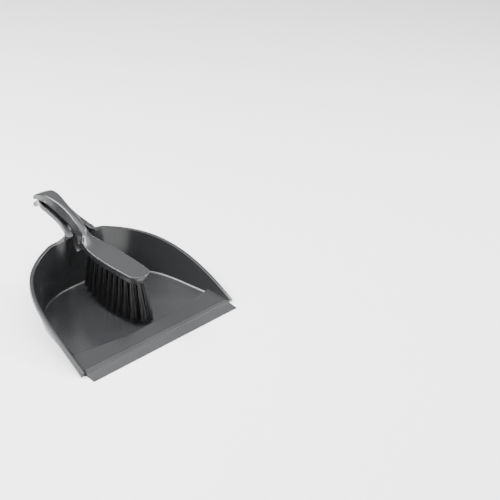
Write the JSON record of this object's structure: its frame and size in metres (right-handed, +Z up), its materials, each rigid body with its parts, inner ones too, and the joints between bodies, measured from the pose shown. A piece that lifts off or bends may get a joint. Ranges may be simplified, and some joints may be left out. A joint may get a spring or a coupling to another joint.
{
  "type": "dust pan and brush set",
  "caption": "Plastic dust pan with a ramped mouth, a rubber lip and a channel handle, and a hand brush that nests in it and lifts off.",
  "frame": {"origin": "on the floor under the middle of the whole set's bounding box", "axes": "+X across the pan to the right seen from behind, +Y from the mouth back towards the handles, +Z up"},
  "size_m": [0.26, 0.2944, 0.1191],
  "materials": {
    "pan_plastic": "glossy dark grey polypropylene",
    "brush_plastic": "satin to glossy dark grey polypropylene",
    "lip_rubber": "matt grey soft rubber",
    "bristle": "black crimped filament",
    "staple_wire": "flat drawn wire"
  },
  "bodies": {
    "pan": {"pan_shell": "pan_plastic", "rubber_lip": "lip_rubber"},
    "brush": {"brush_block": "brush_plastic", "tuft_anchors": "staple_wire", "tuft_01": "bristle", "tuft_02": "bristle", "tuft_03": "bristle", "tuft_04": "bristle", "tuft_05": "bristle", "tuft_06": "bristle", "tuft_07": "bristle", "tuft_08": "bristle", "tuft_09": "bristle", "tuft_10": "bristle", "tuft_11": "bristle", "tuft_12": "bristle", "tuft_13": "bristle", "tuft_14": "bristle", "tuft_15": "bristle", "tuft_16": "bristle", "tuft_17": "bristle", "tuft_18": "bristle", "tuft_19": "bristle", "tuft_20": "bristle", "tuft_21": "bristle", "tuft_22": "bristle", "tuft_23": "bristle", "tuft_24": "bristle", "tuft_25": "bristle", "tuft_26": "bristle", "tuft_27": "bristle", "tuft_28": "bristle", "tuft_29": "bristle", "tuft_30": "bristle", "tuft_31": "bristle", "tuft_32": "bristle", "tuft_33": "bristle", "tuft_34": "bristle", "tuft_35": "bristle", "tuft_36": "bristle", "tuft_37": "bristle", "tuft_38": "bristle", "tuft_39": "bristle", "tuft_40": "bristle", "tuft_41": "bristle", "tuft_42": "bristle"}
  },
  "joints": [
    {"name": "brush_lift", "type": "slide", "parent": "pan", "child": "brush", "axis": [0, 0, 1], "range_m": [0, 0.15]}
  ]
}
